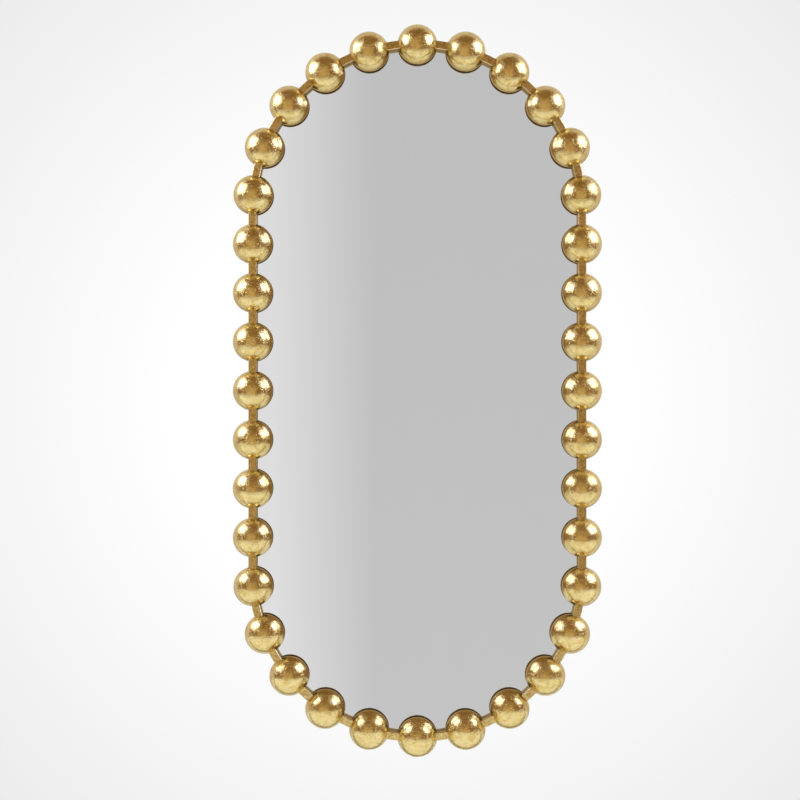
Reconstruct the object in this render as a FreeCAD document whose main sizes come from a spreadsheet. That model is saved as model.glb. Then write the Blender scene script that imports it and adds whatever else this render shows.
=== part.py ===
# Oval wall mirror: a pill-shaped hoop of rectangular tube, strung with hollow beads, around a flat glass.
# Lengths are millimetres. +Z is up, +X is to the right as seen from the front, and the front faces -Y.
# The origin is the middle of the mirror on the wall plane, so every piece lies at negative Y.
import FreeCAD, Part
import math
import os

import Sketcher
from FreeCAD import Placement, Rotation, Vector

SIZES = [
    ("end_radius", 270, "hoop centreline: radius of the two round ends"),
    ("straight_length", 596, "hoop centreline: straight run between the ends"),
    ("tube_width", 13, "hoop tube, across its face"),
    ("tube_depth", 25, "hoop tube, front to back"),
    ("tube_wall", 1.5, "hoop tube wall"),
    ("tube_corner", 1.5, "outside corner radius of the hoop tube"),
    ("joiner_length", 60, "bar inside the tube across each butt joint"),
    ("joiner_fit", 0.1, "clearance round a joiner"),
    ("bead_diameter", 65.5, "outside of a bead"),
    ("bead_wall", 1.2, "pressed wall of a bead"),
    ("beads_per_quarter", 9, "bead spaces in each quarter of the hoop"),
    ("bead_fit", 0.1, "clearance of a bead's slot round the tube"),
    ("gasket_thickness", 1, "soft strip between tube and glass"),
    ("gasket_setback", 0.5, "gasket kept back from the tube's inner face"),
    ("glass_thickness", 4, "mirror glass"),
    ("glass_lap", 2.5, "how far the glass laps behind the tube"),
    ("glass_arris", 0.4, "ground edge of the glass"),
    ("tape_thickness", 1, "foam tape between glass and board"),
    ("tape_width", 25, "one strip of tape"),
    ("tape_length", 540, "one strip of tape"),
    ("tape_pitch", 110, "tape strip to tape strip"),
    ("tape_count", 4, "strips of tape"),
    ("board_thickness", 9, "back board"),
    ("board_setback", 0.5, "board kept inside the edge of the glass"),
    ("board_chamfer", 1.5, "chamfer round the back of the board"),
    ("clip_thickness", 1.5, "sheet of a retaining clip"),
    ("clip_width", 16, "retaining clip, along the hoop"),
    ("clip_tongue", 20, "reach of a clip over the board"),
    ("clip_setback", 0.3, "clip foot kept inside the tube's outer face"),
    ("clip_fit", 0.3, "clearance from the glass edge to a clip"),
    ("clips_per_quarter", 3, "retaining clips in each quarter of the hoop"),
    ("clip_screw_shank", 2.9, "clip screw"),
    ("clip_screw_length", 9.5, "clip screw, under the head"),
    ("clip_screw_head", 5.6, "clip screw, across the head"),
    ("clip_screw_rise", 2.1, "clip screw, height of the head"),
    ("hanger_screw_shank", 3.5, "hanger screw"),
    ("hanger_screw_skin", 0.7, "board left in front of a hanger screw's point"),
    ("hanger_screw_head", 6.9, "hanger screw, across the head"),
    ("hanger_screw_rise", 2.2, "hanger screw, height of the head"),
    ("screw_fit", 0.05, "clearance round a screw shank"),
    ("screw_point", 2, "length of a screw's point"),
    ("screw_round", 1.2, "rounded top of a screw's head"),
    ("recess_length", 3.2, "cross recess of a screw, end to end"),
    ("recess_width", 0.9, "cross recess of a screw, across one arm"),
    ("recess_depth", 1.1, "cross recess of a screw"),
    ("hanger_inset", 86, "ring centre from the side edge of the board"),
    ("hanger_rise", 32, "ring axis above the start of the round end"),
    ("strap_width", 16, "hanger strap"),
    ("strap_length", 34, "hanger strap below the ring axis"),
    ("strap_thickness", 1.2, "hanger strap"),
    ("strap_corner", 4, "rounded lower corners of the strap"),
    ("strap_screw_drop", 8.5, "upper strap screw below the ring axis"),
    ("strap_screw_end", 7, "lower strap screw above the end of the strap"),
    ("ring_wire", 3, "wire of a hanging ring"),
    ("ring_fit", 0.1, "clearance of the wire in the strap's curl"),
    ("ring_side_gap", 0.5, "play of the ring beside the strap"),
    ("ring_elbow", 3.5, "centreline radius of the ring's lower corners"),
    ("ring_leg", 2, "straight leg between ring corner and ring arc"),
    ("ring_rest_gap", 0.3, "ring arc to board where the ring leans back"),
    ("bumper_diameter", 14, "wall bumper at the board"),
    ("bumper_tip", 11, "wall bumper at the wall"),
    ("bumper_height", 8, "wall bumper"),
    ("bumper_round", 0.8, "rounded rim of a bumper"),
    ("bumper_inset", 60, "bumper centre from the side edge of the board"),
]

# Depths are measured from the wall plane towards the front, so a depth d lies at Y = -d.
PLACES = [
    ("board_back", "=sizes.bumper_height", "depth of the board's back face"),
    ("glass_back", "=board_back + sizes.board_thickness + sizes.tape_thickness", "depth of the glass back"),
    ("hoop_back", "=glass_back + sizes.glass_thickness + sizes.gasket_thickness", "depth of the tube back"),
    ("hoop_middle", "=hoop_back + sizes.tube_depth / 2", "depth of the bead centres"),
    ("tube_inner", "=sizes.end_radius - sizes.tube_width / 2", "end radius of the tube's inner face"),
    ("tube_outer", "=sizes.end_radius + sizes.tube_width / 2", "end radius of the tube's outer face"),
    ("joiner_half_width", "=sizes.tube_width / 2 - sizes.tube_wall - sizes.joiner_fit", "half a joiner"),
    ("joiner_half_depth", "=sizes.tube_depth / 2 - sizes.tube_wall - sizes.joiner_fit", "half a joiner"),
    ("glass_radius", "=tube_inner + sizes.glass_lap", "end radius of the glass"),
    ("board_radius", "=glass_radius - sizes.board_setback", "end radius of the board"),
    ("leg_inner", "=glass_radius + sizes.clip_fit - sizes.end_radius", "clip leg, out from the centreline"),
    ("leg_outer", "=leg_inner + sizes.clip_thickness", "clip leg, out from the centreline"),
    ("foot_end", "=sizes.tube_width / 2 - sizes.clip_setback", "clip foot, out from the centreline"),
    ("clip_screw_line", "=(leg_outer + foot_end) / 2", "clip screws, out from the centreline"),
    ("foot_back", "=hoop_back - sizes.clip_thickness", "depth of the face under clip screws"),
    ("curl_radius", "=sizes.ring_wire / 2 + sizes.ring_fit + sizes.strap_thickness", "strap curl, outside"),
    ("ring_axis", "=board_back - curl_radius", "depth of the ring axes"),
    ("hanger_x", "=board_radius - sizes.hanger_inset", "ring centres from the middle"),
    ("hanger_z", "=sizes.straight_length / 2 + sizes.hanger_rise", "height of the ring axes"),
    ("strap_back", "=board_back - sizes.strap_thickness", "depth of the face under strap screws"),
    ("clip_screw_hole", "=sizes.clip_screw_shank / 2 + sizes.screw_fit", "radius"),
    ("clip_screw_reach", "=sizes.clip_screw_length", "clip screw under the head"),
    ("hanger_screw_hole", "=sizes.hanger_screw_shank / 2 + sizes.screw_fit", "radius"),
    ("hanger_screw_grip", "=sizes.board_thickness - sizes.hanger_screw_skin", "hanger screw in the board"),
    ("hanger_screw_reach", "=sizes.strap_thickness + hanger_screw_grip", "hanger screw under the head"),
    ("ring_bar", "=sizes.strap_width / 2 + sizes.ring_side_gap", "half the straight bar of a ring"),
    ("ring_arc", "=ring_bar + sizes.ring_elbow", "centreline radius of the ring's arc"),
    ("ring_reach", "=sizes.ring_elbow + sizes.ring_leg + ring_arc", "ring axis to the far side of the ring"),
    ("bumper_x", "=board_radius - sizes.bumper_inset", "bumpers from the middle"),
    ("bumper_z", "=sizes.straight_length / 2", "bumpers from the middle"),
]

SIDES = {"left": -1, "right": 1}

doc = FreeCAD.newDocument("oval_wall_mirror")


# Sheets, sketches and features

def fill_sheet(name, rows):
    sheet = doc.addObject("Spreadsheet::Sheet", name)
    for row, (alias, content, note) in enumerate(rows, start=1):
        sheet.set(f"A{row}", alias)
        sheet.set(f"B{row}", str(content))
        sheet.setAlias(f"B{row}", alias)
        sheet.set(f"C{row}", note)
    doc.recompute()
    return sheet


def bound(kind, name, **expressions):
    """A document object whose properties follow the sheets; a double underscore stands for a dot."""
    made = doc.addObject(kind, name)
    bind(made, **expressions)
    return made


def bind(made, **expressions):
    for property_name, expression in expressions.items():
        made.setExpression(property_name.replace("__", "."), expression)


def new_sketch(body, name, plane_role, offset=None):
    """A sketch on one of the body's origin planes, moved along the plane's normal by an expression."""
    sketch = body.newObject("Sketcher::SketchObject", name)
    plane = next(feature for feature in body.Origin.OriginFeatures if feature.Role == plane_role)
    sketch.AttachmentSupport = [(plane, "")]
    sketch.MapMode = "FlatFace"
    if offset:
        sketch.setExpression("AttachmentOffset.Base.z", offset)
    return sketch


def dimension(sketch, name, expression, *constraint):
    index = sketch.addConstraint(Sketcher.Constraint(*constraint))
    sketch.renameConstraint(index, name)
    sketch.setExpression(f"Constraints.{name}", expression)


def add_feature(body, kind, name, profile=None, **expressions):
    """The body's next feature. A profile that is left out is set by the caller."""
    made = body.newObject(f"PartDesign::{kind}", name)
    if profile:
        made.Profile = profile
    bind(made, **expressions)
    return made


def cut_pocket(body, name, profile, length, before):
    """A pocket that runs along the sketch's normal. It has to take material away."""
    made = add_feature(body, "Pocket", name, profile, Length=length)
    made.Reversed = True
    doc.recompute()
    if made.Shape.Volume > before.Shape.Volume - 1e-3:
        raise RuntimeError(f"{name} cuts nothing")
    return made


def dress_edges(body, kind, name, base, wanted, **expressions):
    """A fillet or chamfer on each edge of the base that wanted() picks."""
    made = add_feature(body, kind, name, **expressions)
    edges = [f"Edge{number}" for number, edge in enumerate(base.Shape.Edges, start=1) if wanted(edge)]
    made.Base = (base, edges)
    doc.recompute()
    return made


def lies_in(axis, *values):
    """A test for edges that lie wholly in a plane where that coordinate has one of the values."""
    def test(edge):
        low = getattr(edge.BoundBox, f"{axis}Min")
        high = getattr(edge.BoundBox, f"{axis}Max")
        return any(abs(low - value) < 1e-4 and abs(high - value) < 1e-4 for value in values)

    return test


# The hoop's centreline

def hoop_length():
    return 2 * sizes.straight_length + 2 * math.pi * sizes.end_radius


def hoop_place(distance):
    """(x, z, outward angle in degrees) on the centreline, that far clockwise from the top.

    Each quarter of the hoop mirrors the first, which runs from the top to the middle of the right side.
    """
    radius = sizes.end_radius
    quarter = hoop_length() / 4
    turn, along = divmod(distance, quarter)
    if turn % 2 == 1:
        along = quarter - along
    right = 1 if turn in (0, 1) else -1
    upper = 1 if turn in (0, 3) else -1
    angle = max(0, math.pi / 2 - along / radius)
    run_down = max(0, along - math.pi / 2 * radius)
    across = right * math.cos(angle)
    up = upper * math.sin(angle)
    x = radius * across
    z = radius * up + upper * (sizes.straight_length / 2 - run_down)
    return x, z, math.degrees(math.atan2(up, across))


def bead_count():
    """A multiple of four, so that beads stand at the top, the bottom and both sides."""
    return 4 * int(sizes.beads_per_quarter)


def bead_pitch():
    return hoop_length() / bead_count()


def clip_places():
    """The clips' places on the hoop, spread evenly, each midway between two beads."""
    clips = 4 * int(sizes.clips_per_quarter)
    gaps = [int((number + 0.5) * bead_count() / clips) for number in range(clips)]
    return [hoop_place((gap + 0.5) * bead_pitch()) for gap in gaps]


def on_hoop(x, z, outward):
    """Turns a piece's own +X to point outward from the hoop there."""
    return Placement(Vector(x, 0, z), Rotation(Vector(0, 1, 0), -outward))


# Outlines

def join_tangent(sketch, pairs):
    for first, second in pairs:
        sketch.addConstraint(Sketcher.Constraint("Tangent", first, 2, second, 1))


def draw_pill(sketch, tag, radius_expression):
    """A closed pill outline round the sketch's origin: two straight sides and two half circles."""
    radius = sizes.end_radius
    half = sizes.straight_length / 2
    normal = Vector(0, 0, 1)
    right = sketch.addGeometry(Part.LineSegment(Vector(radius, -half, 0), Vector(radius, half, 0)))
    top_circle = Part.Circle(Vector(0, half, 0), normal, radius)
    top = sketch.addGeometry(Part.ArcOfCircle(top_circle, 0, math.pi))
    left = sketch.addGeometry(Part.LineSegment(Vector(-radius, half, 0), Vector(-radius, -half, 0)))
    bottom_circle = Part.Circle(Vector(0, -half, 0), normal, radius)
    bottom = sketch.addGeometry(Part.ArcOfCircle(bottom_circle, math.pi, 2 * math.pi))
    join_tangent(sketch, [(right, top), (top, left), (left, bottom), (bottom, right)])
    sketch.addConstraint(Sketcher.Constraint("Vertical", right))
    sketch.addConstraint(Sketcher.Constraint("PointOnObject", top, 3, -2))
    sketch.addConstraint(Sketcher.Constraint("Symmetric", top, 3, bottom, 3, -1, 1))
    dimension(sketch, f"{tag}_radius", radius_expression, "Radius", top, radius)
    dimension(sketch, f"{tag}_straight", "sizes.straight_length", "DistanceY", bottom, 3, top, 3, 2 * half)


def draw_half_hoop(sketch, inset):
    """The upper half of the hoop, a thick arch on two legs, drawn in from the tube's faces by inset."""
    outer = places.tube_outer
    inner = places.tube_inner
    half = sizes.straight_length / 2
    middle = Vector(0, half, 0)
    normal = Vector(0, 0, 1)

    def line(x1, y1, x2, y2):
        return sketch.addGeometry(Part.LineSegment(Vector(x1, y1, 0), Vector(x2, y2, 0)))

    def arch(radius):
        return sketch.addGeometry(Part.ArcOfCircle(Part.Circle(middle, normal, radius), 0, math.pi))

    outer_right = line(outer, 0, outer, half)
    outer_arch = arch(outer)
    outer_left = line(-outer, half, -outer, 0)
    left_end = line(-outer, 0, -inner, 0)
    inner_right = line(inner, 0, inner, half)
    inner_arch = arch(inner)
    inner_left = line(-inner, half, -inner, 0)
    right_end = line(inner, 0, outer, 0)
    join_tangent(sketch, [(outer_right, outer_arch), (outer_arch, outer_left)])
    join_tangent(sketch, [(inner_right, inner_arch), (inner_arch, inner_left)])
    for leg in (outer_right, outer_left, inner_right, inner_left):
        sketch.addConstraint(Sketcher.Constraint("Vertical", leg))
    corners = [
        (outer_right, 1, right_end, 2),
        (inner_right, 1, right_end, 1),
        (outer_left, 2, left_end, 1),
        (inner_left, 2, left_end, 2),
    ]
    for leg, leg_point, end, end_point in corners:
        sketch.addConstraint(Sketcher.Constraint("Coincident", leg, leg_point, end, end_point))
        sketch.addConstraint(Sketcher.Constraint("PointOnObject", leg, leg_point, -1))
    sketch.addConstraint(Sketcher.Constraint("Coincident", inner_arch, 3, outer_arch, 3))
    sketch.addConstraint(Sketcher.Constraint("PointOnObject", outer_arch, 3, -2))
    dimension(sketch, "half_straight", "sizes.straight_length / 2", "DistanceY", -1, 1, outer_arch, 3, half)
    dimension(sketch, "outer_radius", f"places.tube_outer - {inset}", "Radius", outer_arch, outer)
    dimension(sketch, "inner_radius", f"places.tube_inner + {inset}", "Radius", inner_arch, inner)


def draw_circle(sketch, tag, radius_expression, x, y):
    """A circle whose centre stands at a fixed place in the sketch."""
    circle = sketch.addGeometry(Part.Circle(Vector(x, y, 0), Vector(0, 0, 1), 1))
    dimension(sketch, f"{tag}_radius", radius_expression, "Radius", circle, 1)
    sketch.addConstraint(Sketcher.Constraint("DistanceX", -1, 1, circle, 3, x))
    sketch.addConstraint(Sketcher.Constraint("DistanceY", -1, 1, circle, 3, y))


def draw_polygon(sketch, corners):
    """A closed outline through corners, each given by two expressions, that starts as a regular polygon."""
    count = len(corners)
    turns = [2 * math.pi * number / count for number in range(count)]
    points = [Vector(math.cos(turn), math.sin(turn), 0) for turn in turns]
    for number in range(count):
        sketch.addGeometry(Part.LineSegment(points[number], points[(number + 1) % count]))
    for number, (x, y) in enumerate(corners):
        sketch.addConstraint(Sketcher.Constraint("Coincident", (number - 1) % count, 2, number, 1))
        dimension(sketch, f"corner_{number}_x", x, "DistanceX", -1, 1, number, 1, points[number].x)
        dimension(sketch, f"corner_{number}_y", y, "DistanceY", -1, 1, number, 1, points[number].y)


# The hoop and its beads

def make_hoop_half(label, turn):
    """Half of the hoop, turned about its middle, with a hole in its back wall for each clip screw."""
    body = doc.addObject("PartDesign::Body", label)
    outline = new_sketch(body, f"{label}_outline", "XZ_Plane", "places.hoop_back")
    draw_half_hoop(outline, "0")
    bar = add_feature(body, "Pad", f"{label}_bar", outline, Length="sizes.tube_depth")
    doc.recompute()
    at_faces = lies_in("Y", -places.hoop_back, -places.hoop_back - sizes.tube_depth)
    at_ends = lies_in("Z", 0)

    def is_long_corner(edge):
        return at_faces(edge) and not at_ends(edge)

    radius = "sizes.tube_corner"
    rounded = dress_edges(body, "Fillet", f"{label}_corners", bar, is_long_corner, Radius=radius)
    inside = new_sketch(body, f"{label}_inside", "XZ_Plane", "places.hoop_back + sizes.tube_wall")
    draw_half_hoop(inside, "sizes.tube_wall")
    depth = "sizes.tube_depth - 2 * sizes.tube_wall"
    hollow = cut_pocket(body, f"{label}_hollow", inside, depth, rounded)
    holes = new_sketch(body, f"{label}_holes", "XZ_Plane", "places.hoop_back")
    unturned = Rotation(Vector(0, 1, 0), -turn)
    for number, place in enumerate(clip_places()):
        centre = unturned.multVec(on_hoop(*place).multVec(Vector(places.clip_screw_line, 0, 0)))
        if centre.z > 0:
            draw_circle(holes, f"hole_{number}", "places.clip_screw_hole", centre.x, centre.z)
    cut_pocket(body, f"{label}_screw_holes", holes, "sizes.tube_wall", hollow)
    body.Placement = Placement(Vector(), Rotation(Vector(0, 1, 0), turn))
    return body


def make_joiner(label, side):
    """A bar inside the tube ends, across the butt joint that the bead at mid height hides."""
    return bound(
        "Part::Box",
        label,
        Length="2 * places.joiner_half_width",
        Width="2 * places.joiner_half_depth",
        Height="sizes.joiner_length",
        Placement__Base__x=f"{side} * sizes.end_radius - places.joiner_half_width",
        Placement__Base__y="-places.hoop_middle - places.joiner_half_depth",
        Placement__Base__z="-sizes.joiner_length / 2",
    )


def make_slot_cutter():
    """The space that the tube needs where it passes through the beads, open at their backs."""
    body = doc.addObject("PartDesign::Body", "slot_cutter")
    outline = new_sketch(body, "slot_outline", "XZ_Plane", "places.hoop_back - sizes.tube_wall")
    draw_pill(outline, "outer", "places.tube_outer + sizes.bead_fit")
    draw_pill(outline, "inner", "places.tube_inner - sizes.bead_fit")
    length = "sizes.tube_wall + sizes.tube_depth + sizes.bead_fit"
    ring = add_feature(body, "Pad", "slot_ring", outline, Length=length)
    doc.recompute()
    front = -(places.hoop_back + sizes.tube_depth + sizes.bead_fit)
    radius = "sizes.tube_corner + sizes.bead_fit"
    dress_edges(body, "Fillet", "slot_corners", ring, lies_in("Y", front), Radius=radius)
    return body


def make_bead(label, place, slot_cutter):
    """A pressed ball, open and level with the tube at the back, with a slot at each side for the tube."""
    x, z, _ = place
    facing = Placement(Vector(x, 0, z), Rotation(Vector(1, 0, 0), 90))

    def ball(name, diameter):
        made = bound(
            "Part::Sphere",
            name,
            Radius=f"({diameter}) / 2",
            Angle1=f"-asin(sizes.tube_depth / ({diameter}))",
        )
        made.Placement = facing
        made.setExpression("Placement.Base.y", "-places.hoop_middle")
        return made

    shell = doc.addObject("Part::Cut", f"{label}_shell")
    shell.Base = ball(f"{label}_outside", "sizes.bead_diameter")
    shell.Tool = ball(f"{label}_inside", "sizes.bead_diameter - 2 * sizes.bead_wall")
    bead = doc.addObject("Part::Cut", label)
    bead.Base = shell
    bead.Tool = slot_cutter
    return bead


# Glass, gasket, tape and board

def make_gasket():
    body = doc.addObject("PartDesign::Body", "glass_gasket")
    outline = new_sketch(body, "gasket_outline", "XZ_Plane", "places.hoop_back - sizes.gasket_thickness")
    draw_pill(outline, "outer", "places.glass_radius")
    draw_pill(outline, "inner", "places.tube_inner + sizes.gasket_setback")
    add_feature(body, "Pad", "gasket_strip", outline, Length="sizes.gasket_thickness")
    return body


def make_glass():
    body = doc.addObject("PartDesign::Body", "mirror_glass")
    outline = new_sketch(body, "glass_outline", "XZ_Plane", "places.glass_back")
    draw_pill(outline, "edge", "places.glass_radius")
    pane = add_feature(body, "Pad", "glass_pane", outline, Length="sizes.glass_thickness")
    doc.recompute()
    at_faces = lies_in("Y", -places.glass_back, -places.glass_back - sizes.glass_thickness)
    dress_edges(body, "Chamfer", "glass_edge", pane, at_faces, Size="sizes.glass_arris")
    return body


def make_tape():
    """Upright strips of double-sided tape, spread evenly about the middle, as one group."""
    strips = []
    count = int(sizes.tape_count)
    for number in range(count):
        strip = bound(
            "Part::Box",
            f"tape_strip_{number + 1}",
            Length="sizes.tape_width",
            Width="sizes.tape_thickness",
            Height="sizes.tape_length",
            Placement__Base__x=f"{number - (count - 1) / 2} * sizes.tape_pitch - sizes.tape_width / 2",
            Placement__Base__y="-places.glass_back",
            Placement__Base__z="-sizes.tape_length / 2",
        )
        strips.append(strip)
    return group("mirror_tape", strips)


def make_board(strap_places):
    body = doc.addObject("PartDesign::Body", "back_board")
    outline = new_sketch(body, "board_outline", "XZ_Plane", "places.board_back")
    draw_pill(outline, "edge", "places.board_radius")
    panel = add_feature(body, "Pad", "board_panel", outline, Length="sizes.board_thickness")
    doc.recompute()
    at_back = lies_in("Y", -places.board_back)
    eased = dress_edges(body, "Chamfer", "board_edge", panel, at_back, Size="sizes.board_chamfer")
    holes = new_sketch(body, "board_holes", "XZ_Plane", "places.board_back")
    for number, place in enumerate(strap_places):
        draw_circle(holes, f"hole_{number}", "places.hanger_screw_hole", place.x, place.z)
    cut_pocket(body, "board_screw_holes", holes, "places.hanger_screw_grip + sizes.screw_fit", eased)
    return body


# Clips and screws

def make_clip():
    """A bent strip: a foot on the tube, a leg past the edge of the glass and a tongue over the board."""
    body = doc.addObject("PartDesign::Body", "clip")
    profile = new_sketch(body, "clip_profile", "XY_Plane")
    corners = [
        ("places.foot_end", "-places.hoop_back"),
        ("places.leg_inner", "-places.hoop_back"),
        ("places.leg_inner", "-places.board_back"),
        ("places.leg_inner - sizes.clip_tongue", "-places.board_back"),
        ("places.leg_inner - sizes.clip_tongue", "-places.board_back + sizes.clip_thickness"),
        ("places.leg_outer", "-places.board_back + sizes.clip_thickness"),
        ("places.leg_outer", "-places.foot_back"),
        ("places.foot_end", "-places.foot_back"),
    ]
    draw_polygon(profile, corners)
    add_feature(body, "Pad", "clip_sheet", profile, Length="sizes.clip_width").SideType = "Symmetric"
    doc.recompute()
    hole = new_sketch(body, "clip_hole", "XZ_Plane", "places.foot_back")
    draw_circle(hole, "hole", "places.clip_screw_hole", places.clip_screw_line, 0)
    cut_pocket(body, "clip_screw_hole", hole, "sizes.clip_thickness", body.Tip)
    return body


def make_screw(kind):
    """A pointed screw with a rounded head and a cross recess, its head standing on the XZ plane, at +Y."""
    shank = f"sizes.{kind}_screw_shank / 2"
    head = f"sizes.{kind}_screw_head / 2"
    rise = f"sizes.{kind}_screw_rise"
    tip = f"-places.{kind}_screw_reach"
    body = doc.addObject("PartDesign::Body", f"{kind}_screw")
    profile = new_sketch(body, f"{kind}_screw_profile", "XY_Plane")
    below = [("0", tip), (shank, f"{tip} + sizes.screw_point"), (shank, "0")]
    above = [(head, "0"), (head, rise), ("0", rise)]
    draw_polygon(profile, below + above)
    turned = add_feature(body, "Revolution", f"{kind}_screw_turned", profile)
    turned.ReferenceAxis = (profile, ["V_Axis"])
    doc.recompute()
    at_top = lies_in("Y", getattr(sizes, f"{kind}_screw_rise"))
    crown = dress_edges(body, "Fillet", f"{kind}_screw_crown", turned, at_top, Radius="sizes.screw_round")
    recess = new_sketch(body, f"{kind}_screw_recess", "XZ_Plane", f"-{rise}")
    arm = "sizes.recess_length / 2"
    half = "sizes.recess_width / 2"
    cross = [
        (arm, half), (half, half), (half, arm), (f"-{half}", arm), (f"-{half}", half), (f"-{arm}", half),
        (f"-{arm}", f"-{half}"), (f"-{half}", f"-{half}"), (f"-{half}", f"-{arm}"), (half, f"-{arm}"),
        (half, f"-{half}"), (arm, f"-{half}"),
    ]
    draw_polygon(recess, cross)
    cut_pocket(body, f"{kind}_screw_cross", recess, "sizes.recess_depth", crown)
    return body


def group(label, members):
    made = doc.addObject("Part::Compound", label)
    made.Links = members
    return made


def copies(label, original, placements):
    """One group of separate solids: the original piece, set at each of the placements."""
    links = []
    for number, placement in enumerate(placements, start=1):
        link = doc.addObject("App::Link", f"{label}_{number}")
        link.LinkedObject = original
        link.Placement = placement
        links.append(link)
    return group(label, links)


# Hangers and bumpers

def make_strap(label, side):
    """A strap with a curl at its top for the ring's bar. Its own origin is the middle of the ring axis."""
    body = doc.addObject("PartDesign::Body", label)
    profile = new_sketch(body, f"{label}_profile", "YZ_Plane")
    outside = places.curl_radius
    length = sizes.strap_length
    thickness = sizes.strap_thickness
    top_face = outside - thickness
    curl_end = math.atan2(-math.sqrt(outside**2 - top_face**2), -top_face)
    curl_circle = Part.Circle(Vector(), Vector(0, 0, 1), outside)
    curl = profile.addGeometry(Part.ArcOfCircle(curl_circle, curl_end, math.pi))
    heel = Vector(-outside, -length, 0)
    toe = Vector(-top_face, -length, 0)
    back = profile.addGeometry(Part.LineSegment(curl_circle.value(math.pi), heel))
    end = profile.addGeometry(Part.LineSegment(heel, toe))
    front = profile.addGeometry(Part.LineSegment(toe, curl_circle.value(curl_end)))
    for first, second in ((curl, back), (back, end), (end, front), (front, curl)):
        profile.addConstraint(Sketcher.Constraint("Coincident", first, 2, second, 1))
    profile.addConstraint(Sketcher.Constraint("Coincident", curl, 3, -1, 1))
    profile.addConstraint(Sketcher.Constraint("PointOnObject", curl, 2, -1))
    profile.addConstraint(Sketcher.Constraint("Vertical", back))
    profile.addConstraint(Sketcher.Constraint("Vertical", front))
    profile.addConstraint(Sketcher.Constraint("Horizontal", end))
    dimension(profile, "curl", "places.curl_radius", "Radius", curl, outside)
    dimension(profile, "thickness", "sizes.strap_thickness", "DistanceX", end, 1, end, 2, thickness)
    dimension(profile, "length", "sizes.strap_length", "DistanceY", end, 1, -1, 1, length)
    bore = profile.addGeometry(Part.Circle(Vector(), Vector(0, 0, 1), top_face))
    profile.addConstraint(Sketcher.Constraint("Coincident", bore, 3, -1, 1))
    dimension(profile, "bore", "sizes.ring_wire / 2 + sizes.ring_fit", "Radius", bore, top_face)
    sheet_bend = add_feature(body, "Pad", f"{label}_sheet", profile, Length="sizes.strap_width")
    sheet_bend.SideType = "Symmetric"
    doc.recompute()

    at_end = lies_in("Z", -length)
    at_sides = lies_in("X", -sizes.strap_width / 2, sizes.strap_width / 2)

    def is_lower_corner(edge):
        return at_end(edge) and at_sides(edge)

    radius = "sizes.strap_corner"
    eased = dress_edges(body, "Fillet", f"{label}_corners", sheet_bend, is_lower_corner, Radius=radius)
    holes = new_sketch(body, f"{label}_holes", "XZ_Plane", "places.curl_radius - sizes.strap_thickness")
    for number, drop in enumerate(strap_screw_drops()):
        draw_circle(holes, f"hole_{number}", "places.hanger_screw_hole", 0, -drop)
    cut_pocket(body, f"{label}_screw_holes", holes, "sizes.strap_thickness", eased)
    bind(
        body,
        Placement__Base__x=f"{side} * places.hanger_x",
        Placement__Base__y="-places.ring_axis",
        Placement__Base__z="places.hanger_z",
    )
    return body


def strap_screw_drops():
    """How far below the ring axis each strap screw stands."""
    return [sizes.strap_screw_drop, sizes.strap_length - sizes.strap_screw_end]


def strap_screw_places():
    """Where the strap screws' heads seat, on both hangers."""
    return [
        Vector(side * places.hanger_x, -places.strap_back, places.hanger_z - drop)
        for side in SIDES.values()
        for drop in strap_screw_drops()
    ]


def make_ring(label, side):
    """A D-shaped wire ring that stands up from its bar on the ring axis and leans back towards the board."""
    wire = "sizes.ring_wire / 2"
    bar = bound("Part::Cylinder", f"{label}_bar", Radius=wire, Height="2 * places.ring_bar")
    bar.Placement.Rotation = Rotation(Vector(0, 1, 0), 90)
    bar.setExpression("Placement.Base.x", "-places.ring_bar")
    arc = bound("Part::Torus", f"{label}_arc", Radius1="places.ring_arc", Radius2=wire)
    arc.Angle3 = 180
    arc.Placement.Rotation = Rotation(Vector(1, 0, 0), 90)
    arc.setExpression("Placement.Base.z", "sizes.ring_elbow + sizes.ring_leg")
    pieces = [bar, arc]
    for name, sign in SIDES.items():
        elbow = bound("Part::Torus", f"{label}_elbow_{name}", Radius1="sizes.ring_elbow", Radius2=wire)
        elbow.Angle3 = 90
        first_angle = 270 if sign > 0 else 180
        elbow.Placement.Rotation = Rotation(Vector(1, 0, 0), 90) * Rotation(Vector(0, 0, 1), first_angle)
        bind(elbow, Placement__Base__x=f"{sign} * places.ring_bar", Placement__Base__z="sizes.ring_elbow")
        leg = bound(
            "Part::Cylinder",
            f"{label}_leg_{name}",
            Radius=wire,
            Height="sizes.ring_leg",
            Placement__Base__x=f"{sign} * places.ring_arc",
            Placement__Base__z="sizes.ring_elbow",
        )
        pieces += [elbow, leg]
    ring = doc.addObject("Part::MultiFuse", label)
    ring.Shapes = pieces
    ring.Placement.Rotation = Rotation(Vector(1, 0, 0), ring_lean())
    bind(
        ring,
        Placement__Base__x=f"{side} * places.hanger_x",
        Placement__Base__y="-places.ring_axis",
        Placement__Base__z="places.hanger_z",
    )
    return ring


def ring_lean():
    """How far, in degrees, a ring leans back from upright before its arc meets the board."""
    room = places.curl_radius - sizes.ring_wire / 2 - sizes.ring_rest_gap
    return math.degrees(math.asin(room / places.ring_reach))


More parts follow.
